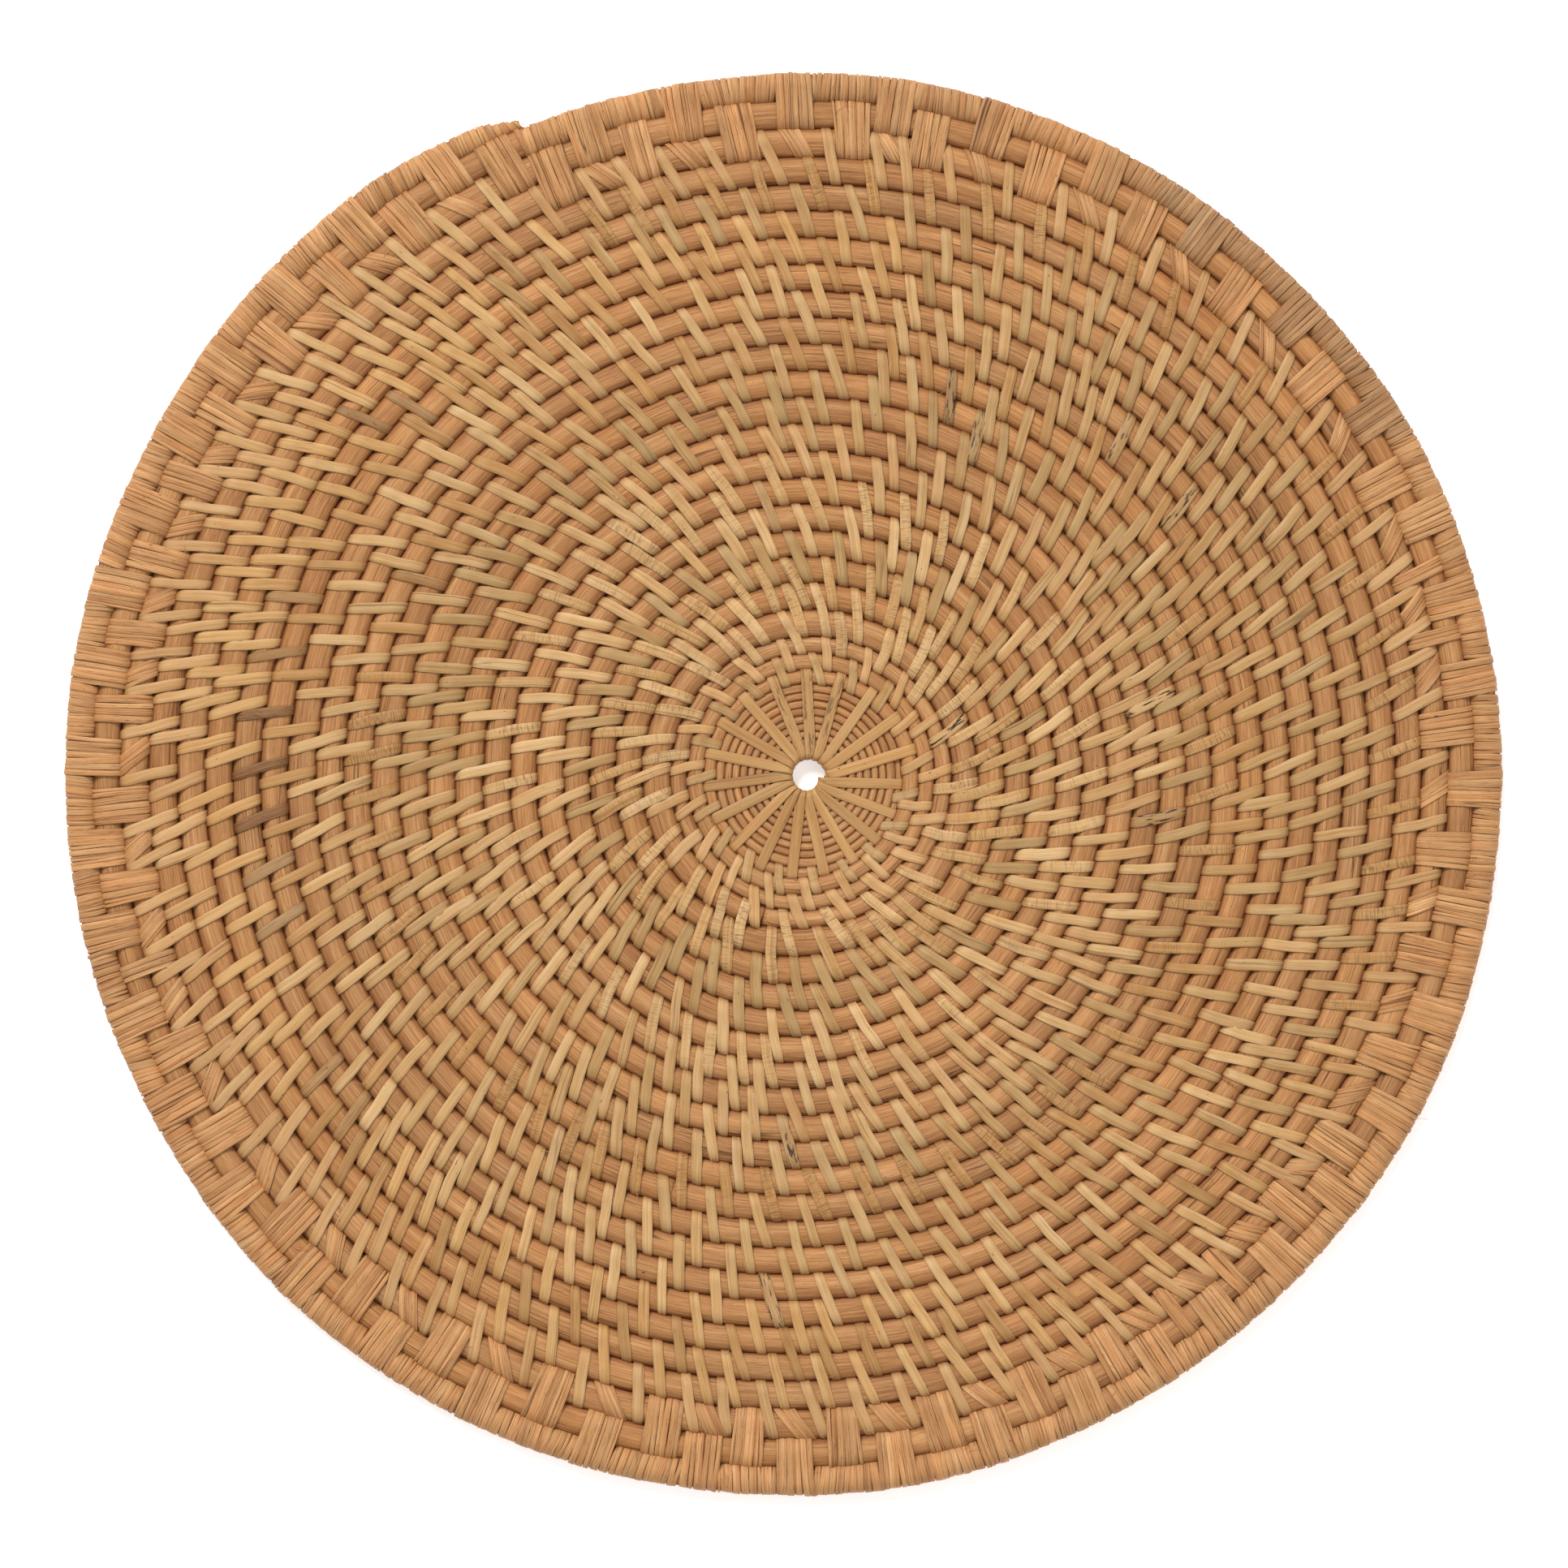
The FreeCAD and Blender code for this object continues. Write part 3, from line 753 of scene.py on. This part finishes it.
def build_rim(material):
    blocks, spans = inner_block_places()
    crossings = [turn + 1.0 for turn, _ in blocks]
    outer_turns = [(a + b) / 2.0 for a, b in zip(crossings, crossings[1:])]
    outer_turns = [t for t in outer_turns if t < OUTER_BLOCK_END]
    inner, outer, edge = [], [], []
    for number, (turn, width) in enumerate(blocks):
        half = turns_for(width / 2.0, turn + 1.0)
        place_on = turn + 1.0
        inner += wrap_sweeps(
            place_on - half, place_on + half, 2, INNER_STRIP, 100 + 7 * number, INNER_SLANT)
    inner += diagonal_sweeps(spans)
    half = turns_for(BLOCK_WIDTH / 2.0, LAST_ROUND)
    for number, turn in enumerate(outer_turns):
        place_on = turn + 1.0
        outer += wrap_sweeps(
            place_on - half, place_on + half, 2, OUTER_STRIP, 600 + 7 * number, OUTER_SLANT)
    margin = turns_for(EDGE_MARGIN, LAST_ROUND)
    stops = [CANE_END - 1.0] + [turn + 1.0 for turn in outer_turns] + [CANE_END + half - 0.1 * margin]
    for number, (first, last) in enumerate(zip(stops, stops[1:])):
        begin = first + (half if number else -margin)
        if last - half - begin > margin:
            edge += wrap_sweeps(begin, last - half, 1, EDGE_STRIP, 1100 + 13 * number)
    for group, radius in ((inner, 178.0), (outer, 181.0), (edge, 186.0)):
        for _ in range(RIM_FRAYS):
            angle = rng.uniform(0, TAU)
            root = place(np.array(radius + rng.uniform(-6, 2)), angle, 3.05)
            group.append(loose_fibre(root, rng.uniform(2.0, 5.0), 0.12))
    tip = place(distance(CANE_END - margin), -TAU * CANE_END, 0.6)
    edge.append(loose_fibre(tip, 10.0, 0.14, TIP_HAIR_HEADING, 0.9))
    edge.append(loose_fibre(tip, 6.0, 0.16, TIP_HAIR_HEADING - 0.6, 0.5))
    write_mesh("rim_bindings_inner", inner, material, "rim_inner_blocks")
    write_mesh("rim_bindings_outer", outer, material, "rim_outer_blocks")
    write_mesh("rim_edge_wrapping", edge, material, "rim_edge_sleeves")


# ---- materials ----
class Nodes:
    """A short way to add and join shader nodes."""

    def __init__(self, name):
        self.material = bpy.data.materials.new(name)
        self.material.use_nodes = True
        self.tree = self.material.node_tree
        self.shader = self.tree.nodes["Principled BSDF"]

    def add(self, kind, inputs=None, **settings):
        node = self.tree.nodes.new(kind)
        for key, value in settings.items():
            setattr(node, key, value)
        for key, value in (inputs or {}).items():
            if hasattr(value, "node"):
                self.tree.links.new(value, node.inputs[key])
            else:
                node.inputs[key].default_value = value
        return node

    def attribute(self, name, output):
        return self.add("ShaderNodeAttribute", attribute_name=name).outputs[output]

    def noise(self, vector, scale, detail=3.0, rough=0.6):
        mapped = self.add("ShaderNodeMapping", {"Vector": vector, "Scale": scale}).outputs[0]
        settings = {"Vector": mapped, "Scale": 1.0, "Detail": detail, "Roughness": rough}
        return self.add("ShaderNodeTexNoise", settings).outputs["Fac"]

    def math(self, operation, a, b=0.0, clamp=False):
        node = self.add("ShaderNodeMath", {0: a, 1: b}, operation=operation)
        node.use_clamp = clamp
        return node.outputs[0]

    def span(self, value, low, high, to_low=0.0, to_high=1.0):
        settings = {"Value": value, "From Min": low, "From Max": high, "To Min": to_low, "To Max": to_high}
        return self.add("ShaderNodeMapRange", settings).outputs[0]

    def ramp(self, value, stops):
        node = self.add("ShaderNodeValToRGB", {"Fac": value})
        band = node.color_ramp
        while len(band.elements) < len(stops):
            band.elements.new(0.5)
        for element, (spot, colour) in zip(band.elements, stops):
            element.position = spot
            element.color = (*colour, 1.0)
        return node.outputs["Color"]

    def mix(self, factor, a, b, blend="MIX"):
        node = self.add("ShaderNodeMix", data_type="RGBA", blend_type=blend)
        for index, value in ((0, factor), (6, a), (7, b)):
            if hasattr(value, "node"):
                self.tree.links.new(value, node.inputs[index])
            else:
                node.inputs[index].default_value = (*value, 1.0) if index else value
        return node.outputs[2]


def rattan(name, palette, grain_sizes, dash_depth, crack_depth, roughness, bump):
    """Straight-grained rattan: zones, streaks, fine fibres, dark dashes, long cracks and specks."""
    n = Nodes(name)
    fibre = n.attribute("fibre", "Vector")
    zones = n.noise(fibre, (0.02, 0.22, 0.22), 2.0)
    streaks = n.noise(fibre, grain_sizes[0], 4.0, 0.65)
    threads = n.noise(fibre, grain_sizes[1], 3.0, 0.7)
    grain = n.math("ADD", n.math("MULTIPLY", streaks, 0.5), n.math("MULTIPLY", threads, 0.5))
    grain = n.math("ADD", grain, n.math("MULTIPLY", n.math("SUBTRACT", zones, 0.5), 0.35))
    colour = n.ramp(grain, palette)
    dashes = n.span(n.noise(fibre, (0.28, 6.0, 6.0), 2.0, 0.5), 0.62, 0.72, 0.0, dash_depth)
    bend = n.math("ABSOLUTE", n.math("SUBTRACT", n.noise(fibre, (0.006, 0.42, 0.42), 1.0, 0.4), 0.5))
    where = n.span(n.noise(fibre, (0.014, 0.1, 0.1), 1.0), 0.48, 0.58)
    crack = n.math("MULTIPLY", n.span(bend, 0.0, 0.011, crack_depth, 0.0), where, True)
    dark = n.math("MAXIMUM", dashes, crack)
    colour = n.mix(dark, colour, (0.105, 0.040, 0.014))
    blots = n.noise(fibre, (0.2, 1.5, 1.5), 3.0, 0.62)
    speckled = n.attribute("speck", "Fac")
    spots = n.math("MULTIPLY", n.span(blots, 0.55, 0.60), speckled, True)
    ladder = n.math("ABSOLUTE", n.math("SUBTRACT", n.noise(fibre, (1.5, 0.12, 0.12), 1.0), 0.5))
    checked = n.math("MULTIPLY", speckled, -1.0)
    checks = n.math("MULTIPLY", n.span(ladder, 0.0, 0.05, 0.75, 0.0), checked, True)
    colour = n.mix(checks, colour, (0.16, 0.075, 0.028))
    few = n.span(n.noise(fibre, (0.55, 2.1, 2.1), 1.0, 0.5), 0.765, 0.80, 0.0, 0.8)
    colour = n.mix(n.math("MAXIMUM", spots, few), colour, (0.028, 0.014, 0.008))
    colour = n.mix(1.0, colour, n.attribute("tint", "Vector"), "MULTIPLY")
    n.tree.links.new(colour, n.shader.inputs["Base Color"])
    rough = n.span(threads, 0.3, 0.7, roughness - 0.05, roughness + 0.1)
    n.tree.links.new(rough, n.shader.inputs["Roughness"])
    n.shader.inputs["Specular IOR Level"].default_value = 0.28
    height = n.math("SUBTRACT", grain, n.math("MULTIPLY", dark, 0.8))
    relief = n.add("ShaderNodeBump", {"Height": height, "Strength": bump, "Distance": 0.00014}).outputs[0]
    n.tree.links.new(relief, n.shader.inputs["Normal"])
    return n.material


def build_materials():
    cane = rattan(
        "rattan_cane",
        [(0.30, (0.216, 0.071, 0.020)), (0.44, (0.357, 0.153, 0.050)),
         (0.56, (0.461, 0.223, 0.081)), (0.72, (0.583, 0.330, 0.150))],
        ((0.05, 2.0, 2.0), (0.09, 6.0, 6.0)), 0.42, 0.95, 0.62, 0.8)
    reed = rattan(
        "rattan_reed",
        [(0.30, (0.216, 0.073, 0.021)), (0.44, (0.367, 0.162, 0.054)),
         (0.56, (0.479, 0.240, 0.093)), (0.72, (0.620, 0.365, 0.170))],
        ((0.06, 2.2, 2.2), (0.12, 6.5, 6.5)), 0.5, 0.9, 0.6, 0.8)
    peel = rattan(
        "rattan_peel",
        [(0.28, (0.310, 0.147, 0.046)), (0.45, (0.442, 0.245, 0.090)),
         (0.58, (0.500, 0.312, 0.137)), (0.76, (0.578, 0.408, 0.228))],
        ((0.03, 1.1, 1.1), (0.07, 5.0, 5.0)), 0.25, 0.5, 0.57, 0.6)
    rim = rattan(
        "rattan_rim_strip",
        [(0.30, (0.24, 0.085, 0.027)), (0.44, (0.43, 0.195, 0.070)),
         (0.56, (0.55, 0.290, 0.118)), (0.72, (0.67, 0.42, 0.225))],
        ((0.04, 3.0, 3.0), (0.08, 8.0, 8.0)), 0.5, 0.95, 0.58, 0.9)
    return cane, reed, peel, rim


# ---- floor, light and camera ----
PHOTO_WIDTH = 0.4158
CAMERA_HEIGHT = 2.6
SENSOR = 36.0
FLOOR_SIZE = 6.0
FLOOR_DROP = 0.0004
FLOOR_GLOW = 0.45
WORLD_LIGHT = 0.55
LAMPS = (("key", (-1.65, 3.75, 4.35), 2.1, 335.0), ("fill", (2.4, -1.8, 2.8), 2.8, 34.0))


def build_stage():
    bpy.ops.mesh.primitive_plane_add(size=FLOOR_SIZE, location=(0, 0, -FLOOR_DROP))
    floor = bpy.context.object
    floor.name = "floor"
    n = Nodes("floor_white")
    n.shader.inputs["Base Color"].default_value = (0.9, 0.9, 0.9, 1.0)
    n.shader.inputs["Roughness"].default_value = 0.9
    n.shader.inputs["Emission Color"].default_value = (1.0, 1.0, 1.0, 1.0)
    n.shader.inputs["Emission Strength"].default_value = FLOOR_GLOW
    floor.data.materials.append(n.material)
    world = bpy.data.worlds.new("studio")
    bpy.context.scene.world = world
    world.use_nodes = True
    world.node_tree.nodes["Background"].inputs["Color"].default_value = (1.0, 1.0, 1.0, 1.0)
    world.node_tree.nodes["Background"].inputs["Strength"].default_value = WORLD_LIGHT
    for name, spot, size, power in LAMPS:
        light = bpy.data.lights.new(name, "AREA")
        light.size = size
        light.energy = power
        lamp = bpy.data.objects.new(name, light)
        lamp.location = spot
        aim = -np.array(spot)
        tilt, turn = math.atan2(math.hypot(aim[0], aim[1]), -aim[2]), math.atan2(-aim[0], aim[1])
        lamp.rotation_euler = (tilt, 0, turn)
        bpy.context.scene.collection.objects.link(lamp)
    lens = bpy.data.cameras.new("camera")
    lens.sensor_width = SENSOR
    lens.lens = SENSOR * CAMERA_HEIGHT / PHOTO_WIDTH
    camera = bpy.data.objects.new("camera", lens)
    camera.location = (0, 0, CAMERA_HEIGHT)
    bpy.context.scene.collection.objects.link(camera)
    bpy.context.scene.camera = camera
    bpy.context.scene.view_settings.view_transform = "Standard"


cane_material, reed_material, peel_material, rim_material = build_materials()
build_rods(cane_material, reed_material)
build_spokes(peel_material)
build_stitches(peel_material)
build_rim(rim_material)
build_stage()
